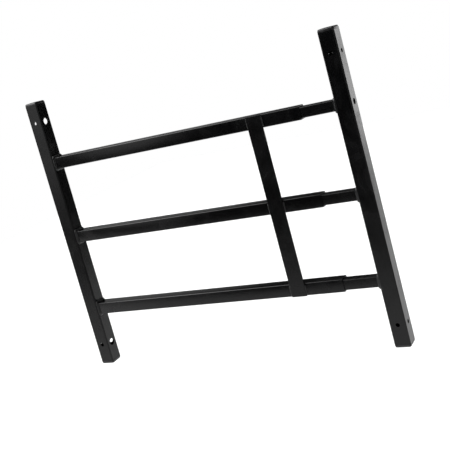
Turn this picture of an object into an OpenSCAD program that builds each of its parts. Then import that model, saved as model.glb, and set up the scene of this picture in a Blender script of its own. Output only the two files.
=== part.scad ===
// Telescoping window security bar: two square posts joined by three sleeved bars.
// Millimetres, +Z up. Origin: middle of the closed guard's footprint, at the bottom of the caps.
// X runs along the bars from the sleeve side to the sliding side, -Y is the front with the brace.

/* [Overall] */
// Width over both posts with the slide closed
closed_width = 578; // [480:1:700]
// Height over the end caps
overall_height = 487; // [380:1:620]
// Distance between one bar's centre line and the next
bar_pitch = 135.5; // [100:0.5:180]
// How far the middle bar sits below the posts' mid-height
bar_drop = 3.5; // [0:0.5:10]
// How far the sliding side is shown drawn out
slide_out = 0; // [0:1:400]

/* [Posts] */
// Side of each square post
post_size = 25.4; // [20:0.1:40]
// Wall of each post
post_wall = 1.5; // [1.2:0.1:3]
// Outside corner radius of each post
post_corner = 2.2; // [2:0.1:4]
// Screw hole diameter, in the front face and in the outer side face
screw_hole_d = 6.5; // [4:0.1:8]
// Driver access hole diameter, opposite each screw hole
access_hole_d = 12; // [9:0.1:15]
// Screw hole distance from the cut end of the post
hole_from_end = 31.75; // [20:0.25:50]
// Vent hole diameter in the sliding post, level with the top bar
vent_hole_d = 9.5; // [5:0.1:12]

/* [Bars] */
// Side of each square sleeve tube
sleeve_size = 20.6; // [16:0.05:25]
// Wall of the sleeve tubes and of the inner tubes
bar_wall = 1.5; // [1:0.1:2]
// Outside corner radius of the sleeve tubes
sleeve_corner = 1.3; // [0.8:0.1:3]
// Gap on each side between an inner tube and its sleeve
slide_gap = 0.5; // [0.3:0.01:0.9]
// Outside corner radius of the inner tubes
inner_corner = 1.2; // [0.8:0.1:2.5]
// Length of inner tube left showing when closed
closed_show = 57; // [20:0.1:90]
// Gap between an inner tube's free end and the far post when closed
tip_gap = 2; // [1:0.1:10]

/* [Brace] */
// Width of the upright flat brace
brace_width = 25.4; // [15:0.1:40]
// Thickness of the brace
brace_thickness = 2.4; // [2:0.025:6]
// Distance from the brace's near edge to the open ends of the sleeves
brace_from_sleeve_end = 88; // [30:1:200]

/* [End caps] */
// Height of the straight band of a cap's head
cap_band = 3.4; // [2:0.1:6]
// Height of the cap's bevelled crown above its band
cap_crown = 1.6; // [1:0.1:4]
// How far the crown steps in from the band on each side
cap_inset = 1.5; // [0.5:0.1:4]
// Depth of the cap's plug inside the post
plug_depth = 14; // [8:0.5:18]
// Wall of the hollow plug
plug_wall = 1.6; // [1.2:0.1:3]
// Gap between the plug's ribs and the post's inside wall
plug_gap = 0.15; // [0.1:0.05:0.4]
// Number of grip ribs round the plug
plug_ribs = 3; // [2:1:4]

/* [Welds] */
// Leg of the fillet weld above and below a bar, at its post
post_weld_leg = 5; // [3:0.1:7]
// Leg of the fillet weld on the front and back of a bar, at its post
side_weld_leg = 1.7; // [1:0.1:3]
// Leg of the fillet weld along each edge of the brace
brace_weld_leg = 3; // [2:0.1:5]

/* [Hidden] */
$fn = 48;
cut_over = 1;
edge_gap = 0.05;
least_bore_corner = 0.3;
bar_ends = [-1, 1];
post_length = overall_height - 2 * (cap_band + cap_crown);
post_bottom = cap_band + cap_crown;
bar_z = [for (i = [1, 0, -1]) overall_height / 2 - bar_drop + i * bar_pitch];
left_x = -closed_width / 2 + post_size / 2;
right_x = closed_width / 2 - post_size / 2;
left_face_x = -closed_width / 2 + post_size;
right_face_x = closed_width / 2 - post_size;
sleeve_end_x = right_face_x - closed_show;
sleeve_length = sleeve_end_x - left_face_x;
inner_size = sleeve_size - 2 * bar_wall - 2 * slide_gap;
inner_start_x = left_face_x + tip_gap;
inner_length = right_face_x - inner_start_x;
brace_left_x = sleeve_end_x - brace_from_sleeve_end;
brace_right_x = brace_left_x + brace_width;
brace_back_y = -sleeve_size / 2;
brace_height = 2 * bar_pitch + sleeve_size;
post_bore = post_size - 2 * post_wall;
plug_core = post_bore - 2 * plug_gap - 1.6;
rib_height = 1.2;
rib_pitch = (plug_depth - 2) / plug_ribs;
coat = [0.05, 0.05, 0.055];
bead = [0.09, 0.09, 0.095];
cap_grey = [0.16, 0.16, 0.17];

// Piece to show, or all of them

// Square with rounded corners, centred on the origin
module rounded_square(size, corner) {
    square([size, size - 2 * corner], center = true);
    square([size - 2 * corner, size], center = true);
    for (sx = bar_ends, sy = bar_ends)
        translate([sx * (size / 2 - corner), sy * (size / 2 - corner)]) circle(r = corner);
}

// Square tube standing on the origin along +Z
module square_tube(size, wall, corner, length) {
    linear_extrude(height = length) difference() {
        rounded_square(size, corner);
        rounded_square(size - 2 * wall, max(corner - wall, least_bore_corner));
    }
}

// Square tube lying along +X from start, on a bar's centre line
module bar_tube(size, corner, start, length, z) {
    translate([start, 0, z]) rotate([0, 90, 0]) square_tube(size, bar_wall, corner, length);
}

// Drill pointing along a wall's outward direction, crossing that wall only
module wall_drill(d, turn, z) {
    translate([0, 0, z]) rotate([90, 0, turn])
        translate([0, 0, post_size / 2 - post_wall - cut_over])
            cylinder(d = d, h = post_wall + 2 * cut_over);
}

// Post with screw holes in front and outer walls and access holes opposite; side is the outer side
module post(side, vent) {
    difference() {
        square_tube(post_size, post_wall, post_corner, post_length);
        for (z = [hole_from_end, post_length - hole_from_end]) {
            wall_drill(screw_hole_d, 0, z);
            wall_drill(access_hole_d, 180, z);
            wall_drill(screw_hole_d, side * 90, z);
            wall_drill(access_hole_d, -side * 90, z);
        }
        if (vent) wall_drill(vent_hole_d, side * 90, bar_z[0] - post_bottom);
    }
}

module left_post() {
    color(coat) translate([left_x, 0, post_bottom]) post(-1, false);
}

module right_post() {
    color(coat) translate([right_x + slide_out, 0, post_bottom]) post(1, true);
}

// Push-in cap, its head's underside at z = 0: banded head, bevelled crown, hollow ribbed plug
module cap() {
    linear_extrude(height = cap_band) rounded_square(post_size, post_corner);
    translate([0, 0, cap_band]) hull() {
        linear_extrude(height = 0.01) rounded_square(post_size, post_corner);
        translate([0, 0, cap_crown - 0.01]) linear_extrude(height = 0.01)
            rounded_square(post_size - 2 * cap_inset, post_corner);
    }
    translate([0, 0, -plug_depth]) {
        linear_extrude(height = plug_depth) difference() {
            rounded_square(plug_core, 1);
            rounded_square(plug_core - 2 * plug_wall, 0.4);
        }
        for (i = [0 : plug_ribs - 1]) translate([0, 0, 1 + i * rib_pitch])
            linear_extrude(height = rib_height) difference() {
                rounded_square(post_bore - 2 * plug_gap, 1);
                rounded_square(plug_core - 0.4, 0.8);
            }
    }
}

module post_cap(x, upper) {
    color(cap_grey) translate([x, 0, upper ? overall_height - post_bottom : post_bottom])
        mirror([0, 0, upper ? 0 : 1]) cap();
}

module left_post_top_cap() { post_cap(left_x, true); }
module left_post_bottom_cap() { post_cap(left_x, false); }
module right_post_top_cap() { post_cap(right_x + slide_out, true); }
module right_post_bottom_cap() { post_cap(right_x + slide_out, false); }

module sleeve_tube(i) {
    color(coat) bar_tube(sleeve_size, sleeve_corner, left_face_x, sleeve_length, bar_z[i]);
}

module inner_tube(i) {
    color(coat) bar_tube(inner_size, inner_corner, inner_start_x + slide_out, inner_length, bar_z[i]);
}

module top_sleeve_tube() { sleeve_tube(0); }
module middle_sleeve_tube() { sleeve_tube(1); }
module bottom_sleeve_tube() { sleeve_tube(2); }
module top_inner_tube() { inner_tube(0); }
module middle_inner_tube() { inner_tube(1); }
module bottom_inner_tube() { inner_tube(2); }

// Flat bar welded upright across the fronts of the three sleeves
module brace_bar() {
    color(coat) translate([brace_left_x, brace_back_y - brace_thickness, bar_z[2] - sleeve_size / 2])
        cube([brace_width, brace_thickness, brace_height]);
}

// Slightly bulging fillet in the corner of two faces; legs lie along +X and +Y
module bead_section(leg_a, leg_b) {
    polygon(concat([[0, 0]], [for (i = [0 : 4])
        [leg_a * (1 - i / 4) + leg_a * 0.12 * sin(45 * i), leg_b * i / 4 + leg_b * 0.12 * sin(45 * i)]]));
}

// Fillet bead of a length, centred on the origin and running along Z
module bead_run(leg_a, leg_b, length) {
    translate([0, 0, -length / 2]) linear_extrude(height = length) bead_section(leg_a, leg_b);
}

// Four beads round a bar where it meets a post's face at x; side points away from the post
module post_weld(x, side, size, z) {
    run = size - 2 * edge_gap;
    color(bead) translate([x, 0, z]) mirror([side < 0 ? 1 : 0, 0, 0]) for (s = bar_ends) {
        mirror([0, 0, s < 0 ? 1 : 0]) translate([0, 0, size / 2]) rotate([90, 0, 0])
            bead_run(post_weld_leg, post_weld_leg, run);
        mirror([0, s < 0 ? 1 : 0, 0]) translate([0, size / 2, 0])
            bead_run(post_weld_leg, side_weld_leg, run);
    }
}

module left_post_top_welds() { post_weld(left_face_x, 1, sleeve_size, bar_z[0]); }
module left_post_middle_welds() { post_weld(left_face_x, 1, sleeve_size, bar_z[1]); }
module left_post_bottom_welds() { post_weld(left_face_x, 1, sleeve_size, bar_z[2]); }
module right_post_top_welds() { post_weld(right_face_x + slide_out, -1, inner_size, bar_z[0]); }
module right_post_middle_welds() { post_weld(right_face_x + slide_out, -1, inner_size, bar_z[1]); }
module right_post_bottom_welds() { post_weld(right_face_x + slide_out, -1, inner_size, bar_z[2]); }

// Two beads along the brace's edges on one sleeve's front face
module brace_weld(i) {
    run = sleeve_size - 2 * sleeve_corner;
    leg = min(brace_weld_leg, brace_thickness);
    color(bead) translate([0, brace_back_y, bar_z[i]]) mirror([0, 1, 0]) {
        translate([brace_right_x, 0, 0]) bead_run(leg, leg * 0.85, run);
        translate([brace_left_x, 0, 0]) mirror([1, 0, 0]) bead_run(leg, leg * 0.85, run);
    }
}

module brace_top_welds() { brace_weld(0); }
module brace_middle_welds() { brace_weld(1); }
module brace_bottom_welds() { brace_weld(2); }

left_post();
right_post();
left_post_top_cap();
left_post_bottom_cap();
right_post_top_cap();
right_post_bottom_cap();
top_sleeve_tube();
middle_sleeve_tube();
bottom_sleeve_tube();
top_inner_tube();
middle_inner_tube();
bottom_inner_tube();
brace_bar();
left_post_top_welds();
left_post_middle_welds();
left_post_bottom_welds();
right_post_top_welds();
right_post_middle_welds();
right_post_bottom_welds();
brace_top_welds();
brace_middle_welds();
brace_bottom_welds();
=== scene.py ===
# %% [markdown]
# # A telescoping window guard, finished in satin black powder coat
#
# Two square posts stand either side of a window. Three square bars join them. Each bar is a
# sleeve welded to the left post, with a thinner tube welded to the right post sliding in it,
# so the guard draws out to fit the opening. A flat upright brace is welded across the front
# of the sleeves, and a plastic cap closes each end of both posts.
#
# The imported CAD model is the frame: it says where everything is. The posts are kept from it,
# holes and all. The tubes, the brace, the caps and the weld beads are made again here, in the
# same places, because their rolled corners, dressed ends and ripples are what the eye reads
# as real steelwork.

# %% Load the frame
import math

import bmesh
import bpy
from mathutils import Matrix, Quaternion, Vector


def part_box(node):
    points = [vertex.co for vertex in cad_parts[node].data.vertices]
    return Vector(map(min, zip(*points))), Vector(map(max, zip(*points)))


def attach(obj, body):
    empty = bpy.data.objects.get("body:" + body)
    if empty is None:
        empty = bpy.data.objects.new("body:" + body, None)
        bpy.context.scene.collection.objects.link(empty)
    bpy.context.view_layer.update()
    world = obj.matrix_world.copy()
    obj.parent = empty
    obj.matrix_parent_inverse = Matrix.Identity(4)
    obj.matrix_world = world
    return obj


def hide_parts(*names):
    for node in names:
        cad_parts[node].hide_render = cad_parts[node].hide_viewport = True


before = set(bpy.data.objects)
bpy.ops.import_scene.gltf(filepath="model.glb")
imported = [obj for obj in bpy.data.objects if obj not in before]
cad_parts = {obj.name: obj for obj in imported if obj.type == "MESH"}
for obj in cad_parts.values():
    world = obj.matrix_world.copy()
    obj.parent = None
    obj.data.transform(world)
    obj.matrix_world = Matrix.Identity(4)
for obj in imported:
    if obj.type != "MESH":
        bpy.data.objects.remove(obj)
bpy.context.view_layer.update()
scene = bpy.context.scene
MM = 0.001

# %% [markdown]
# ## Measures taken from the frame
#
# Every piece takes its place from a CAD node's box, so a change to the CAD source carries
# through. A tube's box gives its side and both its ends. Walls and corner radii are hidden
# inside a box, so those few shop sizes are written here once.


# %% Read the tubes and the brace from their boxes
def span(node):
    """Lowest corner, highest corner and middle of a CAD node."""
    low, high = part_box(node)
    return low, high, (low + high) / 2


LEVELS = ("top", "middle", "bottom")
POST_WALL = 1.5 * MM
TUBE_WALL = 1.5 * MM
SLEEVE_CORNER = 1.55 * MM
INNER_CORNER = 1.55 * MM

POST_SIDE = span("left_post")[1].x - span("left_post")[0].x
LEFT_FACE = span("left_post")[1].x
RIGHT_FACE = span("right_post")[0].x
SLEEVE_SIDE = span("top_sleeve_tube")[1].z - span("top_sleeve_tube")[0].z
INNER_SIDE = span("top_inner_tube")[1].z - span("top_inner_tube")[0].z
print("post %.1f mm, sleeve %.2f mm, inner %.2f mm" % (POST_SIDE / MM, SLEEVE_SIDE / MM, INNER_SIDE / MM))


# %% [markdown]
# ## Small helpers for node trees
#
# Geometry and shader trees are both nodes joined by links. The first helper adds a node and
# fills or links its inputs, so that each tree below reads as a list of steps. The next three
# shorten sums, and the last one gives a group its named inputs and outputs.


# %% Tree helpers
def step(tree, kind, inputs=(), **settings):
    """Adds a node, sets its own settings, then fills or links its inputs by name or number."""
    node = tree.nodes.new(kind)
    for name, value in settings.items():
        setattr(node, name, value)
    for key, value in dict(inputs).items():
        socket = node.inputs[key]
        if isinstance(value, bpy.types.NodeSocket):
            tree.links.new(value, socket)
        else:
            socket.default_value = value
    return node


def sum_of(tree, kind, operation, *values):
    """A math or vector math node applied to values that may be numbers or sockets."""
    return step(tree, kind, dict(enumerate(values)), operation=operation).outputs[0]


def number(tree, operation, *values):
    """The result of a math node, as a socket."""
    return sum_of(tree, "ShaderNodeMath", operation, *values)


def vector(tree, operation, *values):
    """The result of a vector math node, as a socket."""
    return sum_of(tree, "ShaderNodeVectorMath", operation, *values)


def inlet(tree, name, kind, value=None, output=False):
    """Adds a named socket to a group, and its starting value if it has one."""
    side = "OUTPUT" if output else "INPUT"
    socket = tree.interface.new_socket(name, in_out=side, socket_type="NodeSocket" + kind)
    if value is not None:
        socket.default_value = value
    return socket


print("helpers ready")

# %% [markdown]
# ## Shared surface effects
#
# Powder coat is sprayed as dry dust and melted on, which leaves a faint pebbled skin called
# orange peel. It could be one bump texture, but the real skin has two scales: slow waves a
# few millimetres wide that make reflections wobble, and fine grain under half a millimetre.
# The first group mixes both into a height. The second finds edges, where the powder pulls
# thin and handling polishes it, by comparing the surface normal with a rounded one. The
# third is handling dust: soft smears a little lighter and rougher than the coat.


# %% Orange peel group
def make_orange_peel():
    """Puts out a height: broad waves mixed with fine grain."""
    tree = bpy.data.node_groups.new("orange peel", "ShaderNodeTree")
    inlet(tree, "Vector", "Vector")
    inlet(tree, "Wave size", "Float", 260.0)
    inlet(tree, "Grain size", "Float", 2600.0)
    inlet(tree, "Grain share", "Float", 0.35)
    inlet(tree, "Height", "Float", output=True)
    into = tree.nodes.new("NodeGroupInput").outputs
    waves = step(tree, "ShaderNodeTexNoise", {"Vector": into["Vector"], "Scale": into["Wave size"],
                                              "Detail": 2.0, "Roughness": 0.5})
    grain = step(tree, "ShaderNodeTexVoronoi", {"Vector": into["Vector"], "Scale": into["Grain size"],
                                                "Randomness": 1.0}, feature="SMOOTH_F1")
    mixed = step(tree, "ShaderNodeMix", {"Factor": into["Grain share"], "A": waves.outputs[0],
                                         "B": grain.outputs["Distance"]})
    step(tree, "NodeGroupOutput", {"Height": mixed.outputs[0]})
    return tree


ORANGE_PEEL = make_orange_peel()
print("group:", ORANGE_PEEL.name)


# %% Edge wear group
def make_edge_wear():
    """Puts out a mask: 1 on worn stretches of an edge, 0 on the flats."""
    tree = bpy.data.node_groups.new("edge wear", "ShaderNodeTree")
    inlet(tree, "Vector", "Vector")
    inlet(tree, "Edge width", "Float", 0.0006)
    inlet(tree, "Patchiness", "Float", 60.0)
    inlet(tree, "Mask", "Float", output=True)
    into = tree.nodes.new("NodeGroupInput").outputs
    rounded = step(tree, "ShaderNodeBevel", {"Radius": into["Edge width"]}, samples=4)
    true = tree.nodes.new("ShaderNodeNewGeometry").outputs["True Normal"]
    agreement = step(tree, "ShaderNodeVectorMath", {0: rounded.outputs[0], 1: true},
                     operation="DOT_PRODUCT").outputs["Value"]
    # The two normals agree fully on a flat, and less and less over an edge.
    edge = step(tree, "ShaderNodeMapRange", {"Value": agreement, "From Min": 0.995, "From Max": 0.86})
    patches = step(tree, "ShaderNodeTexNoise", {"Vector": into["Vector"], "Scale": into["Patchiness"],
                                                "Detail": 4.0, "Roughness": 0.65})
    broken = step(tree, "ShaderNodeMapRange", {"Value": patches.outputs[0], "From Min": 0.38,
                                               "From Max": 0.66})
    step(tree, "NodeGroupOutput", {"Mask": number(tree, "MULTIPLY", edge.outputs[0], broken.outputs[0])})
    return tree


EDGE_WEAR = make_edge_wear()
print("group:", EDGE_WEAR.name)


# %% Handling dust group
def make_handling_dust():
    """Puts out two masks: soft smears, and a few sharp specks."""
    tree = bpy.data.node_groups.new("handling dust", "ShaderNodeTree")
    inlet(tree, "Vector", "Vector")
    inlet(tree, "Smear size", "Float", 18.0)
    inlet(tree, "Speck size", "Float", 900.0)
    inlet(tree, "Smears", "Float", output=True)
    inlet(tree, "Specks", "Float", output=True)
    into = tree.nodes.new("NodeGroupInput").outputs
    smear = step(tree, "ShaderNodeTexNoise", {"Vector": into["Vector"], "Scale": into["Smear size"],
                                              "Detail": 5.0, "Roughness": 0.6, "Distortion": 0.8})
    soft = step(tree, "ShaderNodeMapRange", {"Value": smear.outputs[0], "From Min": 0.42,
                                             "From Max": 0.72}, interpolation_type="SMOOTHSTEP")
    speck = step(tree, "ShaderNodeTexVoronoi", {"Vector": into["Vector"], "Scale": into["Speck size"]})
    dots = step(tree, "ShaderNodeMapRange", {"Value": speck.outputs["Distance"], "From Min": 0.20,
                                             "From Max": 0.10})
    # Only a few of the cells hold a speck.
    lot = step(tree, "ShaderNodeSeparateColor", {"Color": speck.outputs["Color"]})
    few = step(tree, "ShaderNodeMapRange", {"Value": lot.outputs[0], "From Min": 0.90, "From Max": 0.96})
    step(tree, "NodeGroupOutput", {"Smears": soft.outputs[0],
                                   "Specks": number(tree, "MULTIPLY", dots.outputs[0], few.outputs[0])})
    return tree


HANDLING_DUST = make_handling_dust()
print("group:", HANDLING_DUST.name)

# %% [markdown]
# ## The finishes
#
# Four finishes cover the guard. The satin coat is on everything steel. The weld beads carry
# the same powder, but it lies thinner on the ripples and looks greyer. The inner tubes have
# the satin coat with faint drag lines along their length, left by the sleeves. The caps are
# moulded plastic, rougher and a little lighter than the steel.
#
# A coat is built from the groups: a base colour broken up by smears and edges, a roughness
# that rises where dust lies and falls where edges are polished, and a bump from the peel.


# %% Painting helper
SMEAR_SHARE = 0.55
SMEAR_ROUGHNESS = 0.10
EDGE_POLISH = -0.08
LINE_ROUGHNESS = 0.10
LINE_STRETCH = (4.0, 1500.0, 1500.0)
PEEL_DEPTH = 0.2 * MM


def tint(tree, mask, under, over):
    """One colour over another where the mask says so."""
    mix = step(tree, "ShaderNodeMix", {"Factor": mask, "A": under, "B": over}, data_type="RGBA")
    return mix.outputs[2]


def coat(name, colour, edge_colour, dust_colour, roughness, peel, bump, specular, drag_lines=0.0):
    """A coated finish: colour, edge and dust tints, roughness, peel sizes, bump and gloss."""
    material = bpy.data.materials.new(name)
    material.use_nodes = True
    tree = material.node_tree
    tree.nodes.clear()
    place = tree.nodes.new("ShaderNodeTexCoord").outputs["Object"]
    wave_size, grain_size = peel
    dust = step(tree, "ShaderNodeGroup", {}, node_tree=HANDLING_DUST)
    wear = step(tree, "ShaderNodeGroup", {}, node_tree=EDGE_WEAR)
    skin = step(tree, "ShaderNodeGroup", {}, node_tree=ORANGE_PEEL)
    for group in (dust, wear, skin):
        tree.links.new(place, group.inputs["Vector"])
    skin.inputs["Wave size"].default_value = wave_size
    skin.inputs["Grain size"].default_value = grain_size
    dusty = tint(tree, number(tree, "MULTIPLY", dust.outputs["Smears"], SMEAR_SHARE), colour, dust_colour)
    specked = tint(tree, dust.outputs["Specks"], dusty, edge_colour)
    worn = tint(tree, wear.outputs["Mask"], specked, edge_colour)
    rough = number(tree, "MULTIPLY_ADD", dust.outputs["Smears"], SMEAR_ROUGHNESS, roughness)
    rough = number(tree, "MULTIPLY_ADD", wear.outputs["Mask"], EDGE_POLISH, rough)
    height = skin.outputs["Height"]
    if drag_lines:
        stretched = step(tree, "ShaderNodeMapping", {"Vector": place, "Scale": LINE_STRETCH})
        lines = step(tree, "ShaderNodeTexNoise", {"Vector": stretched.outputs[0], "Scale": 1.0,
                                                  "Detail": 3.0}).outputs[0]
        height = number(tree, "MULTIPLY_ADD", lines, drag_lines, height)
        rough = number(tree, "MULTIPLY_ADD", lines, LINE_ROUGHNESS, rough)
    raised = step(tree, "ShaderNodeBump", {"Strength": bump, "Distance": PEEL_DEPTH, "Height": height})
    shader = step(tree, "ShaderNodeBsdfPrincipled", {"Base Color": worn, "Roughness": rough,
                                                     "Normal": raised.outputs[0],
                                                     "Specular IOR Level": specular})
    step(tree, "ShaderNodeOutputMaterial", {"Surface": shader.outputs[0]})
    return material


print("painting helper ready")


# %% Mix the four finishes
# Each peel has a wave size and a grain size, as counts to the metre.
STEEL_PEEL = (260.0, 1900.0)
BEAD_PEEL = (420.0, 3200.0)
PLASTIC_GRAIN = (700.0, 5200.0)
SATIN_COAT = coat("satin black coat", colour=(0.0007, 0.0007, 0.0008, 1),
                  edge_colour=(0.016, 0.016, 0.017, 1), dust_colour=(0.0016, 0.0016, 0.0018, 1),
                  roughness=0.20, peel=STEEL_PEEL, bump=0.26, specular=0.25)
SLIDING_COAT = coat("sliding tube coat", colour=(0.0007, 0.0007, 0.0008, 1),
                    edge_colour=(0.018, 0.018, 0.019, 1), dust_colour=(0.0016, 0.0016, 0.0018, 1),
                    roughness=0.20, peel=STEEL_PEEL, bump=0.26, specular=0.25, drag_lines=0.5)
BEAD_COAT = coat("coated weld bead", colour=(0.0014, 0.0014, 0.0016, 1),
                 edge_colour=(0.018, 0.018, 0.019, 1), dust_colour=(0.004, 0.004, 0.0043, 1),
                 roughness=0.28, peel=BEAD_PEEL, bump=0.25, specular=0.35)
CAP_PLASTIC = coat("moulded cap plastic", colour=(0.0018, 0.0018, 0.0020, 1),
                   edge_colour=(0.020, 0.020, 0.021, 1), dust_colour=(0.0045, 0.0045, 0.0048, 1),
                   roughness=0.30, peel=PLASTIC_GRAIN, bump=0.16, specular=0.45)
print("finishes:", [m.name for m in (SATIN_COAT, SLIDING_COAT, BEAD_COAT, CAP_PLASTIC)])

# %% [markdown]
# ## Keep the posts as the CAD made them
#
# The posts' holes are exact in the CAD model, so a new mesh would only lose accuracy. They
# stay, and take the satin coat.

# %% Coat the posts
for post in ("left_post", "right_post"):
    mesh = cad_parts[post].data
    mesh.materials.clear()
    mesh.materials.append(SATIN_COAT)
    print(post, "coated,", len(mesh.vertices), "vertices")

# %% [markdown]
# ## Square tube, by rule
#
# A square tube is a rule, not a shape: a wall swept round a square with rounded corners. It
# could be a box with the inside cut away, but then the cut ends are razor sharp. Here the
# *path* is the rounded square seen from the end, and the *section* swept round it is the
# wall itself, as long as the tube and as thick as the steel, with its four corners eased.
# That gives the rolled corners and dressed ends in one sweep, closed all round.


# %% Tube tree
def make_tube_tree():
    """Sweeps a long thin section round a rounded square, then lays the tube along +X."""
    tree = bpy.data.node_groups.new("square tube", "GeometryNodeTree")
    inlet(tree, "Geometry", "Geometry")
    inlet(tree, "Side", "Float", 0.02)
    inlet(tree, "Wall", "Float", 0.0012)
    inlet(tree, "Corner", "Float", 0.002)
    inlet(tree, "Length", "Float", 0.5)
    inlet(tree, "Dressed edge", "Float", 0.0003)
    inlet(tree, "Start", "Vector", (0, 0, 0))
    inlet(tree, "Finish", "Material")
    inlet(tree, "Geometry", "Geometry", output=True)
    into = tree.nodes.new("NodeGroupInput").outputs
    middle = number(tree, "SUBTRACT", into["Side"], into["Wall"])
    ring = step(tree, "GeometryNodeCurvePrimitiveQuadrilateral", {"Width": middle, "Height": middle})
    bend = number(tree, "MULTIPLY_ADD", into["Wall"], -0.5, into["Corner"])
    ring = step(tree, "GeometryNodeFilletCurve", {"Curve": ring.outputs[0], "Radius": bend, "Count": 8,
                                                  "Limit Radius": True}, mode="POLY")
    section = step(tree, "GeometryNodeCurvePrimitiveQuadrilateral", {"Width": into["Wall"],
                                                                     "Height": into["Length"]})
    section = step(tree, "GeometryNodeFilletCurve", {"Curve": section.outputs[0], "Count": 3,
                                                     "Radius": into["Dressed edge"]}, mode="POLY")
    wall = step(tree, "GeometryNodeCurveToMesh", {"Curve": ring.outputs[0],
                                                  "Profile Curve": section.outputs[0]})
    half = step(tree, "ShaderNodeCombineXYZ", {"X": number(tree, "MULTIPLY", into["Length"], 0.5)})
    turned = step(tree, "GeometryNodeTransform", {"Geometry": wall.outputs[0],
                                                  "Rotation": (0.0, math.pi / 2, 0.0)})
    placed = step(tree, "GeometryNodeTransform", {"Geometry": turned.outputs[0], "Translation":
                                                  vector(tree, "ADD", into["Start"], half.outputs[0])})
    real = step(tree, "GeometryNodeRealizeInstances", {"Geometry": placed.outputs[0]})
    done = step(tree, "GeometryNodeSetMaterial", {"Geometry": real.outputs[0], "Material": into["Finish"]})
    step(tree, "NodeGroupOutput", {"Geometry": done.outputs[0]})
    return tree


TUBE_TREE = make_tube_tree()
print("tree:", TUBE_TREE.name, "with", len(TUBE_TREE.nodes), "nodes")


# %% [markdown]
# ## From a tree to a plain piece
#
# A tree makes its mesh only while its modifier is on. The piece that leaves this script has
# to be plain, so the tree is run, its result is copied to a new object, and the carrier is
# thrown away. Normals are pointed outwards and corners are shaded smooth up to an angle, so
# that flats stay flat and rolled corners look round.


# %% Run a tree and keep the result
SAME_PLACE = 1e-7


def run_tree(name, tree, values, carrier_data):
    """Runs a geometry tree on carrier data with named values; returns a plain mesh."""
    carrier = bpy.data.objects.new(name + "_carrier", carrier_data)
    scene.collection.objects.link(carrier)
    modifier = carrier.modifiers.new("rule", "NODES")
    modifier.node_group = tree
    for item in tree.interface.items_tree:
        if item.in_out == "INPUT" and item.name in values:
            modifier[item.identifier] = values[item.name]
    carrier.update_tag()
    bpy.context.view_layer.update()
    made = bpy.data.meshes.new_from_object(carrier.evaluated_get(bpy.context.evaluated_depsgraph_get()))
    bpy.data.objects.remove(carrier)
    made.name = name
    return made


def smooth_up_to(mesh, degrees):
    """Merges doubles, turns faces outwards and marks edges sharper than the angle."""
    build = bmesh.new()
    build.from_mesh(mesh)
    bmesh.ops.remove_doubles(build, verts=build.verts, dist=SAME_PLACE)
    bmesh.ops.recalc_face_normals(build, faces=build.faces)
    limit = math.radians(degrees)
    for face in build.faces:
        face.smooth = True
    for edge in build.edges:
        edge.smooth = len(edge.link_faces) == 2 and edge.calc_face_angle(0) < limit
    build.to_mesh(mesh)
    build.free()


print("tree runner ready")


# %% Hand a finished mesh over
def mesh_box(mesh):
    """Lowest and highest corner of a mesh."""
    return (Vector(min(v.co[i] for v in mesh.vertices) for i in range(3)),
            Vector(max(v.co[i] for v in mesh.vertices) for i in range(3)))


def hand_over(name, mesh, body, slot, *nodes):
    """Links a finished mesh as a piece that rides on a body and stands for CAD nodes."""
    piece = bpy.data.objects.new(name, mesh)
    scene.collection.objects.link(piece)
    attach(piece, body)
    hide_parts(*nodes)
    low, high = mesh_box(mesh)
    print("%-26s %6d faces, %s mm" % (name, len(mesh.polygons),
                                      [round((b - a) / MM, 1) for a, b in zip(low, high)]))
    return piece


print("handing-over helper ready")


# %% Make the six tubes
TUBE_SMOOTHING = 35


def make_tube(node, side, corner, finish, body):
    """Runs the tube tree in the place and length of a CAD tube."""
    low, high, middle = span(node)
    values = {"Side": side, "Wall": TUBE_WALL, "Corner": corner, "Length": high.x - low.x,
              "Start": Vector((low.x, middle.y, middle.z)), "Finish": finish}
    mesh = run_tree(node + "_steel", TUBE_TREE, values, bpy.data.meshes.new("seed"))
    smooth_up_to(mesh, TUBE_SMOOTHING)
    hand_over(node + "_steel", mesh, body, "powder_coat", node)


for level in LEVELS:
    make_tube(level + "_sleeve_tube", SLEEVE_SIDE, SLEEVE_CORNER, SATIN_COAT, "sleeve_side")
    make_tube(level + "_inner_tube", INNER_SIDE, INNER_CORNER, SLIDING_COAT, "slider_side")

# %% [markdown]
# ## Flat brace
#
# The brace is a length of hot-rolled flat bar. Rolled bar has softly rounded long edges,
# never a sharp arris, so it is a box whose edges are bevelled by a modifier with a few
# segments. The ends are sawn: their edges are only just broken, which a smaller bevel
# weight gives.


# %% Make the brace
ROLLED_EDGE = 0.6 * MM
SAWN_SHARE = 0.35
ROLLED_SEGMENTS = 4


def make_brace():
    """A box in the brace's place: full bevel on the upright edges, a small one at the ends."""
    low, high, middle = span("brace_bar")
    size = high - low
    build = bmesh.new()
    bmesh.ops.create_cube(build, size=1.0)
    for vert in build.verts:
        vert.co = Vector(middle[i] + vert.co[i] * size[i] for i in range(3))
    weight = build.edges.layers.float.new("bevel_weight_edge")
    for edge in build.edges:
        along = (edge.verts[0].co - edge.verts[1].co).normalized()
        edge[weight] = 1.0 if abs(along.z) > 0.9 else SAWN_SHARE
    mesh = bpy.data.meshes.new("brace_flat_bar")
    build.to_mesh(mesh)
    build.free()
    mesh.materials.append(SATIN_COAT)
    for polygon in mesh.polygons:
        polygon.use_smooth = True
    piece = hand_over("brace_flat_bar", mesh, "sleeve_side", "powder_coat", "brace_bar")
    bevel = piece.modifiers.new("rolled edges", "BEVEL")
    bevel.limit_method = "WEIGHT"
    bevel.width = ROLLED_EDGE
    bevel.segments = ROLLED_SEGMENTS
    bevel.harden_normals = True


make_brace()

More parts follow.
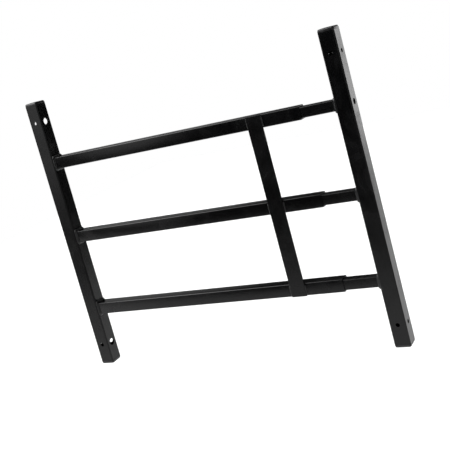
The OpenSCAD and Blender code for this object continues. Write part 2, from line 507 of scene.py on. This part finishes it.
# %% [markdown]
# ## Weld beads
#
# Each bar is joined to its post by a fillet weld run all the way round, and each crossing of
# the brace has a short bead down both its edges. A bead is laid in small overlapping
# puddles, so its surface is a row of ripples. It could be painted on with bump, but the
# outline of a bead is what shows against the light, so the ripples are in the mesh.
#
# One tree makes every bead from its path. It sweeps a round section along the path, pushes
# the surface out in a ripple and a slight wander, then presses it flatter in front of the tube
# and behind it, where the post has only a narrow margin to weld on. The path of a ring is the
# rounded outline of the tube where it meets the post. The steps that shape the surface have a
# helper each, so that the tree itself stays short.


# %% Shape a bead's ends and surface
def blunt_ends(tree, tapered):
    """How thick an open bead is along its run: thin at both ends, full in between."""
    along = tree.nodes.new("GeometryNodeSplineParameter").outputs["Factor"]
    from_end = number(tree, "MINIMUM", along, number(tree, "SUBTRACT", 1.0, along))
    rounded = step(tree, "ShaderNodeMapRange", {"Value": from_end, "From Min": 0.0, "From Max": 0.12,
                                                "To Min": 0.15}, interpolation_type="SMOOTHSTEP")
    return step(tree, "ShaderNodeMix", {"Factor": tapered, "A": 1.0, "B": rounded.outputs[0]}).outputs[0]


def ripple(tree, into, mesh, run):
    """Pushes the surface out in one hump a puddle, and lets it wander a little."""
    seeded = step(tree, "ShaderNodeCombineXYZ", {"X": into["Seed"], "Y": into["Seed"]})
    spot = vector(tree, "ADD", tree.nodes.new("GeometryNodeInputPosition").outputs[0], seeded.outputs[0])
    # Uneven travel: no two puddles are quite as long.
    uneven = step(tree, "ShaderNodeTexNoise", {"Vector": spot, "Scale": 300.0, "Detail": 2.0})
    puddles = number(tree, "DIVIDE", run, into["Ripple pitch"])
    puddles = number(tree, "MULTIPLY_ADD", uneven.outputs[0], 1.5, puddles)
    # Each puddle is a rounded hump with a sharp dip before the next.
    hump = number(tree, "ABSOLUTE", number(tree, "SINE", number(tree, "MULTIPLY", puddles, math.pi)))
    rise = number(tree, "MULTIPLY", number(tree, "SUBTRACT", hump, 0.6), into["Ripple height"])
    lump = step(tree, "ShaderNodeTexNoise", {"Vector": spot, "Scale": 150.0, "Detail": 1.0})
    sway = number(tree, "MULTIPLY", number(tree, "SUBTRACT", lump.outputs[0], 0.5), into["Wander"])
    push = step(tree, "ShaderNodeVectorMath", {0: tree.nodes.new("GeometryNodeInputNormal").outputs[0],
                                               "Scale": number(tree, "ADD", rise, sway)}, operation="SCALE")
    return step(tree, "GeometryNodeSetPosition", {"Geometry": mesh, "Offset": push.outputs[0]}).outputs[0]


def press_flat(tree, into, mesh):
    """Draws back what stands past the half side, in front and behind, by a share of its reach."""
    place = tree.nodes.new("GeometryNodeInputPosition").outputs[0]
    depth = step(tree, "ShaderNodeSeparateXYZ", {"Vector": place}).outputs["Y"]
    past = number(tree, "SUBTRACT", number(tree, "ABSOLUTE", depth), into["Half side"])
    past = number(tree, "MAXIMUM", past, 0.0)
    back = number(tree, "MULTIPLY", number(tree, "MULTIPLY", past, into["Flattening"]),
                  number(tree, "SIGN", depth))
    inwards = step(tree, "ShaderNodeCombineXYZ", {"Y": number(tree, "MULTIPLY", back, -1.0)})
    return step(tree, "GeometryNodeSetPosition", {"Geometry": mesh, "Offset": inwards.outputs[0]}).outputs[0]


print("bead helpers ready")


# %% Weld bead tree
def make_bead_tree():
    """Turns a path into a closed, rippled bead."""
    tree = bpy.data.node_groups.new("weld bead", "GeometryNodeTree")
    inlet(tree, "Geometry", "Geometry")
    inlet(tree, "Leg", "Float", 0.0035)
    inlet(tree, "Half side", "Float", 0.0095)
    inlet(tree, "Flattening", "Float", 0.0)
    inlet(tree, "Ripple pitch", "Float", 0.0016)
    inlet(tree, "Ripple height", "Float", 0.0003)
    inlet(tree, "Wander", "Float", 0.0004)
    inlet(tree, "Tapered ends", "Float", 0.0)
    inlet(tree, "Seed", "Float", 0.0)
    inlet(tree, "Finish", "Material")
    inlet(tree, "Geometry", "Geometry", output=True)
    into = tree.nodes.new("NodeGroupInput").outputs
    fine = step(tree, "GeometryNodeResampleCurve", {"Curve": into["Geometry"], "Length": 0.0003},
                mode="LENGTH")
    thick = number(tree, "MULTIPLY", into["Leg"], blunt_ends(tree, into["Tapered ends"]))
    marked = step(tree, "GeometryNodeCaptureAttribute", {"Geometry": fine.outputs[0]})
    marked.capture_items.new("FLOAT", "run")
    run = tree.nodes.new("GeometryNodeSplineParameter").outputs["Length"]
    tree.links.new(run, marked.inputs["run"])
    section = step(tree, "GeometryNodeCurvePrimitiveCircle", {"Resolution": 20, "Radius": 1.0})
    bead = step(tree, "GeometryNodeCurveToMesh", {"Curve": marked.outputs["Geometry"], "Fill Caps": True,
                                                  "Profile Curve": section.outputs[0], "Scale": thick})
    rippled = ripple(tree, into, bead.outputs[0], marked.outputs["run"])
    pressed = press_flat(tree, into, rippled)
    real = step(tree, "GeometryNodeRealizeInstances", {"Geometry": pressed})
    done = step(tree, "GeometryNodeSetMaterial", {"Geometry": real.outputs[0], "Material": into["Finish"]})
    step(tree, "NodeGroupOutput", {"Geometry": done.outputs[0]})
    return tree


BEAD_TREE = make_bead_tree()
print("tree:", BEAD_TREE.name, "with", len(BEAD_TREE.nodes), "nodes")


# %% Paths for the beads
def path_curve(name, lines, closed):
    """A curve object's data made of straight-sided lines of points."""
    data = bpy.data.curves.new(name, "CURVE")
    data.dimensions = "3D"
    for points in lines:
        spline = data.splines.new("POLY")
        spline.points.add(len(points) - 1)
        for spot, point in zip(spline.points, points):
            spot.co = (*point, 1.0)
        spline.use_cyclic_u = closed
    return data


def rounded_ring(x, middle, side, corner, turns=8):
    """Points of a rounded square round a bar's centre line, in the plane of a post's face."""
    ring = []
    reach = side / 2 - corner
    for quarter, (sy, sz) in enumerate(((1, 1), (-1, 1), (-1, -1), (1, -1))):
        for i in range(turns + 1):
            angle = math.pi / 2 * (quarter + i / turns)
            ring.append((x, middle.y + sy * reach + corner * math.cos(angle),
                         middle.z + sz * reach + corner * math.sin(angle)))
    return ring


print("path helpers ready")


# %% Run the ring welds at both posts
RING_LEG = 3.6 * MM
RING_CORNER = 2.2 * MM
RING_STAND_OFF = 0.2 * MM
RING_FLATTENING = 0.55
RING_RIPPLE = {"Ripple pitch": 1.9 * MM, "Ripple height": 0.30 * MM, "Wander": 1.0 * MM}
BEAD_SMOOTHING = 60


def make_ring_weld(node, tube, face, inward, side, corner, body, seed):
    """A bead all round a tube where it meets a post's face; inward is +1 or -1 along X."""
    ring = rounded_ring(face + inward * RING_STAND_OFF, span(tube)[2], side, max(corner, RING_CORNER))
    values = {"Leg": RING_LEG, "Half side": side / 2, "Flattening": RING_FLATTENING,
              "Seed": float(seed), "Finish": BEAD_COAT, **RING_RIPPLE}
    mesh = run_tree(node + "_ring", BEAD_TREE, values, path_curve(node, [ring], True))
    smooth_up_to(mesh, BEAD_SMOOTHING)
    hand_over(node + "_ring", mesh, body, "weld_coat", node)


for count, level in enumerate(LEVELS):
    make_ring_weld("left_post_%s_welds" % level, level + "_sleeve_tube", LEFT_FACE, 1, SLEEVE_SIDE,
                   SLEEVE_CORNER, "sleeve_side", 3.1 + count)
    make_ring_weld("right_post_%s_welds" % level, level + "_inner_tube", RIGHT_FACE, -1, INNER_SIDE,
                   INNER_CORNER, "slider_side", 7.4 + count)


# %% Run the brace welds
BRACE_BEAD_LEG = 1.9 * MM
BRACE_RIPPLE = {"Ripple pitch": 1.7 * MM, "Ripple height": 0.24 * MM, "Wander": 0.6 * MM}
NEVER_PRESSED = 1.0


def make_brace_weld(level, seed):
    """Two upright beads where the brace's edges cross a sleeve's flat front."""
    low, high, _ = span("brace_bar")
    sleeve_low, _, middle = span(level + "_sleeve_tube")
    reach = SLEEVE_SIDE / 2 - SLEEVE_CORNER
    lines = [[(x, sleeve_low.y, middle.z - reach), (x, sleeve_low.y, middle.z + reach)]
             for x in (low.x, high.x)]
    values = {"Leg": BRACE_BEAD_LEG, "Half side": NEVER_PRESSED, "Tapered ends": 1.0,
              "Seed": float(seed), "Finish": BEAD_COAT, **BRACE_RIPPLE}
    node = "brace_%s_welds" % level
    mesh = run_tree(node + "_beads", BEAD_TREE, values, path_curve(node, lines, False))
    smooth_up_to(mesh, BEAD_SMOOTHING)
    hand_over(node + "_beads", mesh, "sleeve_side", "weld_coat", node)


for count, level in enumerate(LEVELS):
    make_brace_weld(level, 11.7 + count)

# %% [markdown]
# ## End caps
#
# Each cap is one moulding: a head with slightly drafted sides that sits on the post's end, a
# softly domed crown, and a hollow plug with grip ribs inside the post. It could be a bevelled
# box, but a moulding's section changes continuously, so it is lofted: a stack of rounded
# squares, each with its own size, corner and height, joined ring to ring and closed at both
# ends. A hair-wide groove under the head keeps the dark line seen between cap and steel. The
# middle of the crown has the small dimple where the moulding was gated.


# %% Lofting helpers
LEAST_FLAT = 0.01 * MM


def square_ring(build, centre, side, corner, z, turns=6):
    """Adds a ring of vertices: a rounded square at height z."""
    corner = min(corner, side / 2 - LEAST_FLAT)
    reach = side / 2 - corner
    verts = []
    for quarter, (sx, sy) in enumerate(((1, 1), (-1, 1), (-1, -1), (1, -1))):
        for i in range(turns + 1):
            angle = math.pi / 2 * (quarter + i / turns)
            verts.append(build.verts.new((centre.x + sx * reach + corner * math.cos(angle),
                                          centre.y + sy * reach + corner * math.sin(angle), z)))
    return verts


def loft(build, rings):
    """Joins neighbouring rings with faces and closes the first and the last."""
    for low, high in zip(rings, rings[1:]):
        for i in range(len(low)):
            j = (i + 1) % len(low)
            build.faces.new((low[i], low[j], high[j], high[i]))
    build.faces.new(list(reversed(rings[0])))
    build.faces.new(rings[-1])


print("lofting helpers ready")

# %% [markdown]
# The section of a cap is a list of rows, each with a side, a corner radius and a height above
# the post's end. It runs from the floor of the plug's hollow, down to the plug's tip, up over
# the ribs to the post's end, and then out and over the head.


# %% Section of a plug
PLUG_DEPTH = 14.0 * MM
HOLLOW_FLOOR = 2.0 * MM
HOLLOW_SLACK = 5.4 * MM
TIP_SLACK = 2.4 * MM
SKIN_SLACK = 1.9 * MM
RIB_SLACK = (0.5 * MM, 0.4 * MM)
RIB_COUNT = 3
FIRST_RIB = 1.0 * MM
RIB_PITCH = 4.0 * MM


def plug_rows(side):
    """Rows of the plug. A slack is how much narrower than the post's bore a row is."""
    bore = side - 2 * POST_WALL
    rows = [(bore - HOLLOW_SLACK, 0.4 * MM, -HOLLOW_FLOOR), (bore - HOLLOW_SLACK, 0.4 * MM, -PLUG_DEPTH),
            (bore - TIP_SLACK, 0.9 * MM, -PLUG_DEPTH)]
    for rib in range(RIB_COUNT):
        foot = FIRST_RIB - PLUG_DEPTH + RIB_PITCH * rib
        rows.append((bore - SKIN_SLACK, 1.0 * MM, foot))
        rows.append((bore - RIB_SLACK[0], 1.0 * MM, foot + 0.5 * MM))
        rows.append((bore - RIB_SLACK[1], 1.0 * MM, foot + 1.0 * MM))
        rows.append((bore - SKIN_SLACK, 1.0 * MM, foot + 1.3 * MM))
    rows.append((bore - SKIN_SLACK, 1.0 * MM, 0.0))
    return rows


print("plug rows:", len(plug_rows(POST_SIDE)))


# %% Section of a head
CAP_HEAD = 5.0 * MM
HEAD_CORNER = 2.2 * MM
WIDEST_AT = 0.75 * MM
DRAFT = 0.21
CROWN_RISE = 1.7 * MM
CROWN_INSET = 1.6 * MM
CROWN_STEPS = 8
DOME_SHARE = 0.2
GATE_WIDTH = 1.6 * MM
GATE_DEPTH = 0.1 * MM


def head_rows(side):
    """Rows of the head: the groove, the drafted side, the rounded shoulder, the dome, the gate."""
    rows = [(side - 1.1 * MM, 1.8 * MM, 0.0), (side - 0.7 * MM, 2.0 * MM, 0.08 * MM),
            (side - 0.7 * MM, 2.0 * MM, 0.35 * MM), (side - 0.12 * MM, HEAD_CORNER, 0.5 * MM),
            (side, HEAD_CORNER, WIDEST_AT)]
    shoulder = CAP_HEAD - CROWN_RISE
    waist = side - 2 * DRAFT * (shoulder - WIDEST_AT)
    rise = (1 - DOME_SHARE) * CROWN_RISE
    for i in range(CROWN_STEPS + 1):
        turn = math.pi / 2 * i / CROWN_STEPS
        rows.append((waist - 2 * CROWN_INSET * (1 - math.cos(turn)), HEAD_CORNER + MM * i / CROWN_STEPS,
                     shoulder + rise * math.sin(turn)))
    flat = waist - 2 * CROWN_INSET
    for share in (0.9, 0.75, 0.55, 0.35, 0.16):
        rows.append((flat * share, (HEAD_CORNER + MM) * share,
                     shoulder + rise + DOME_SHARE * CROWN_RISE * (1 - share ** 2)))
    rows.append((GATE_WIDTH, 0.7 * MM, shoulder + rise - GATE_DEPTH))
    return rows


print("head rows:", len(head_rows(POST_SIDE)))


# %% Make the four caps
CAP_SMOOTHING = 40


def make_cap(post, end):
    """Lofts one cap on a post's end; a lower cap is the same section turned over."""
    node = "%s_%s_cap" % (post, end)
    low, high, middle = span(node)
    side = high.x - low.x
    upright = 1 if end == "top" else -1
    seat = (high.z if upright > 0 else low.z) - upright * CAP_HEAD
    build = bmesh.new()
    loft(build, [square_ring(build, middle, width, corner, seat + upright * z)
                 for width, corner, z in plug_rows(side) + head_rows(side)])
    mesh = bpy.data.meshes.new(node + "_moulding")
    build.to_mesh(mesh)
    build.free()
    mesh.materials.append(CAP_PLASTIC)
    smooth_up_to(mesh, CAP_SMOOTHING)
    body = "sleeve_side" if post == "left_post" else "slider_side"
    hand_over(node + "_moulding", mesh, body, "cap_plastic", node)


for post in ("left_post", "right_post"):
    for end in ("top", "bottom"):
        make_cap(post, end)

# %% [markdown]
# ## Floor
#
# A plain pale floor lies well below the guard, so that it sends up a soft light and stays out
# of the picture's way. Its grey is broken up a little by broad clouds.


# %% Pale floor
FLOOR_LEFT, FLOOR_RIGHT = -4.0, 1.9
FLOOR_FRONT, FLOOR_BACK = -2.2, 6.0
FLOOR_HEIGHT = -0.6


def make_floor():
    """One face with a rough, pale, faintly clouded finish."""
    mesh = bpy.data.meshes.new("floor")
    mesh.from_pydata([(FLOOR_LEFT, FLOOR_FRONT, FLOOR_HEIGHT), (FLOOR_RIGHT, FLOOR_FRONT, FLOOR_HEIGHT),
                      (FLOOR_RIGHT, FLOOR_BACK, FLOOR_HEIGHT), (FLOOR_LEFT, FLOOR_BACK, FLOOR_HEIGHT)],
                     [], [(0, 1, 2, 3)])
    floor = bpy.data.objects.new("floor", mesh)
    scene.collection.objects.link(floor)
    material = bpy.data.materials.new("pale studio floor")
    material.use_nodes = True
    tree = material.node_tree
    shader = tree.nodes["Principled BSDF"]
    place = tree.nodes.new("ShaderNodeTexCoord").outputs["Object"]
    cloud = step(tree, "ShaderNodeTexNoise", {"Vector": place, "Scale": 0.8, "Detail": 3.0})
    tone = tint(tree, cloud.outputs[0], (0.93, 0.93, 0.93, 1), (0.97, 0.97, 0.97, 1))
    tree.links.new(tone, shader.inputs["Base Color"])
    shader.inputs["Roughness"].default_value = 0.9
    shader.inputs["Specular IOR Level"].default_value = 0.0
    mesh.materials.append(material)


make_floor()
print("floor at", FLOOR_HEIGHT, "m")

# %% [markdown]
# ## Light
#
# A black object is seen by what it mirrors. In an evenly white room it would turn grey all
# over. So to the steel this room is almost dark, with a few soft round patches of light on
# its walls, each where one set of faces or edges looks. Lamps could do the same, but patches
# of the world need no distance or size to be worked out, only a direction. The camera's own
# rays see the same walls as plain white.


# %% Room of soft lights
ROOM_GLOW = 0.012
BACKDROP = 1.0
# What each patch is mirrored in: its direction, half width and soft rim in degrees, strength.
PATCHES = {
    "top front edges of the bars, broad": ((-0.56, -0.32, 0.76), 20.0, 12.0, 8.0),
    "top front edges of the bars, narrow": ((-0.64, -0.70, 0.31), 6.0, 7.0, 8.0),
    "crowns of the caps": ((0.10, 0.60, 0.80), 20.0, 14.0, 0.4),
    "outer side of the right post": ((0.25, 0.965, -0.08), 9.0, 4.0, 2.75),
    "fronts at the left": ((-0.65, -0.76, 0.02), 7.0, 4.0, 1.5),
    "top sides of the bars at the left": ((-0.66, 0.73, 0.14), 12.0, 8.0, 0.22),
    "top sides of the bars at the right": ((-0.37, 0.93, 0.05), 5.0, 8.0, 0.22),
    "upright edges of the posts": ((0.78, -0.62, 0.1), 22.0, 18.0, 0.5),
    "upright edges, nearer the front": ((0.20, -0.97, 0.05), 10.0, 6.0, 0.6),
}


def soft_patch(tree, toward, aim, half_width, rim, strength):
    """Light from a round patch of the room's wall: full inside the half width, then fading."""
    closeness = step(tree, "ShaderNodeVectorMath", {0: toward, 1: Vector(aim).normalized()},
                     operation="DOT_PRODUCT").outputs["Value"]
    dark_from = math.cos(math.radians(half_width + rim))
    full_from = math.cos(math.radians(half_width))
    lit = step(tree, "ShaderNodeMapRange", {"Value": closeness, "From Min": dark_from,
                                            "From Max": full_from, "To Max": strength},
               interpolation_type="SMOOTHSTEP")
    return lit.outputs[0]


def make_room():
    """A world of soft patches for the object, and plain white for the camera."""
    world = bpy.data.worlds.new("studio room")
    scene.world = world
    world.use_nodes = True
    tree = world.node_tree
    tree.nodes.clear()
    toward = vector(tree, "NORMALIZE", tree.nodes.new("ShaderNodeTexCoord").outputs["Generated"])
    light = ROOM_GLOW
    for aim, half_width, rim, strength in PATCHES.values():
        light = number(tree, "ADD", light, soft_patch(tree, toward, aim, half_width, rim, strength))
    seen = tree.nodes.new("ShaderNodeLightPath").outputs["Is Camera Ray"]
    strength = step(tree, "ShaderNodeMix", {"Factor": seen, "A": light, "B": BACKDROP})
    shine = step(tree, "ShaderNodeBackground", {"Color": (1, 1, 1, 1), "Strength": strength.outputs[0]})
    step(tree, "ShaderNodeOutputWorld", {"Surface": shine.outputs[0]})


make_room()
print("light patches:", len(PATCHES))

# %% [markdown]
# ## Camera
#
# The camera stands to the right of the guard and a little above it, and is rolled to one
# side, so that the guard appears tipped. A longish lens keeps the bars close to parallel, and
# a small shift places the guard in the upper part of the picture.


# %% Camera
def make_camera():
    """Looks at the upper part of the guard from its right."""
    aim = Vector((0.04385, 0.0, 0.32821))
    distance = 1.34183
    turn = math.radians(29.71)
    drop = math.radians(8.207)
    roll = math.radians(-15.2)
    look = Vector((-math.sin(turn) * math.cos(drop), math.cos(turn) * math.cos(drop), -math.sin(drop)))
    data = bpy.data.cameras.new("camera")
    data.lens = 68.0
    data.sensor_width = 36.0
    data.shift_x = 0.02
    data.shift_y = -0.1444
    camera = bpy.data.objects.new("camera", data)
    camera.rotation_mode = "QUATERNION"
    camera.rotation_quaternion = look.to_track_quat("-Z", "Y") @ Quaternion((0, 0, 1), roll)
    camera.location = aim - look * distance
    scene.collection.objects.link(camera)
    scene.camera = camera
    return camera


camera = make_camera()
scene.view_settings.view_transform = "Standard"
print("camera at", [round(c, 3) for c in camera.location])
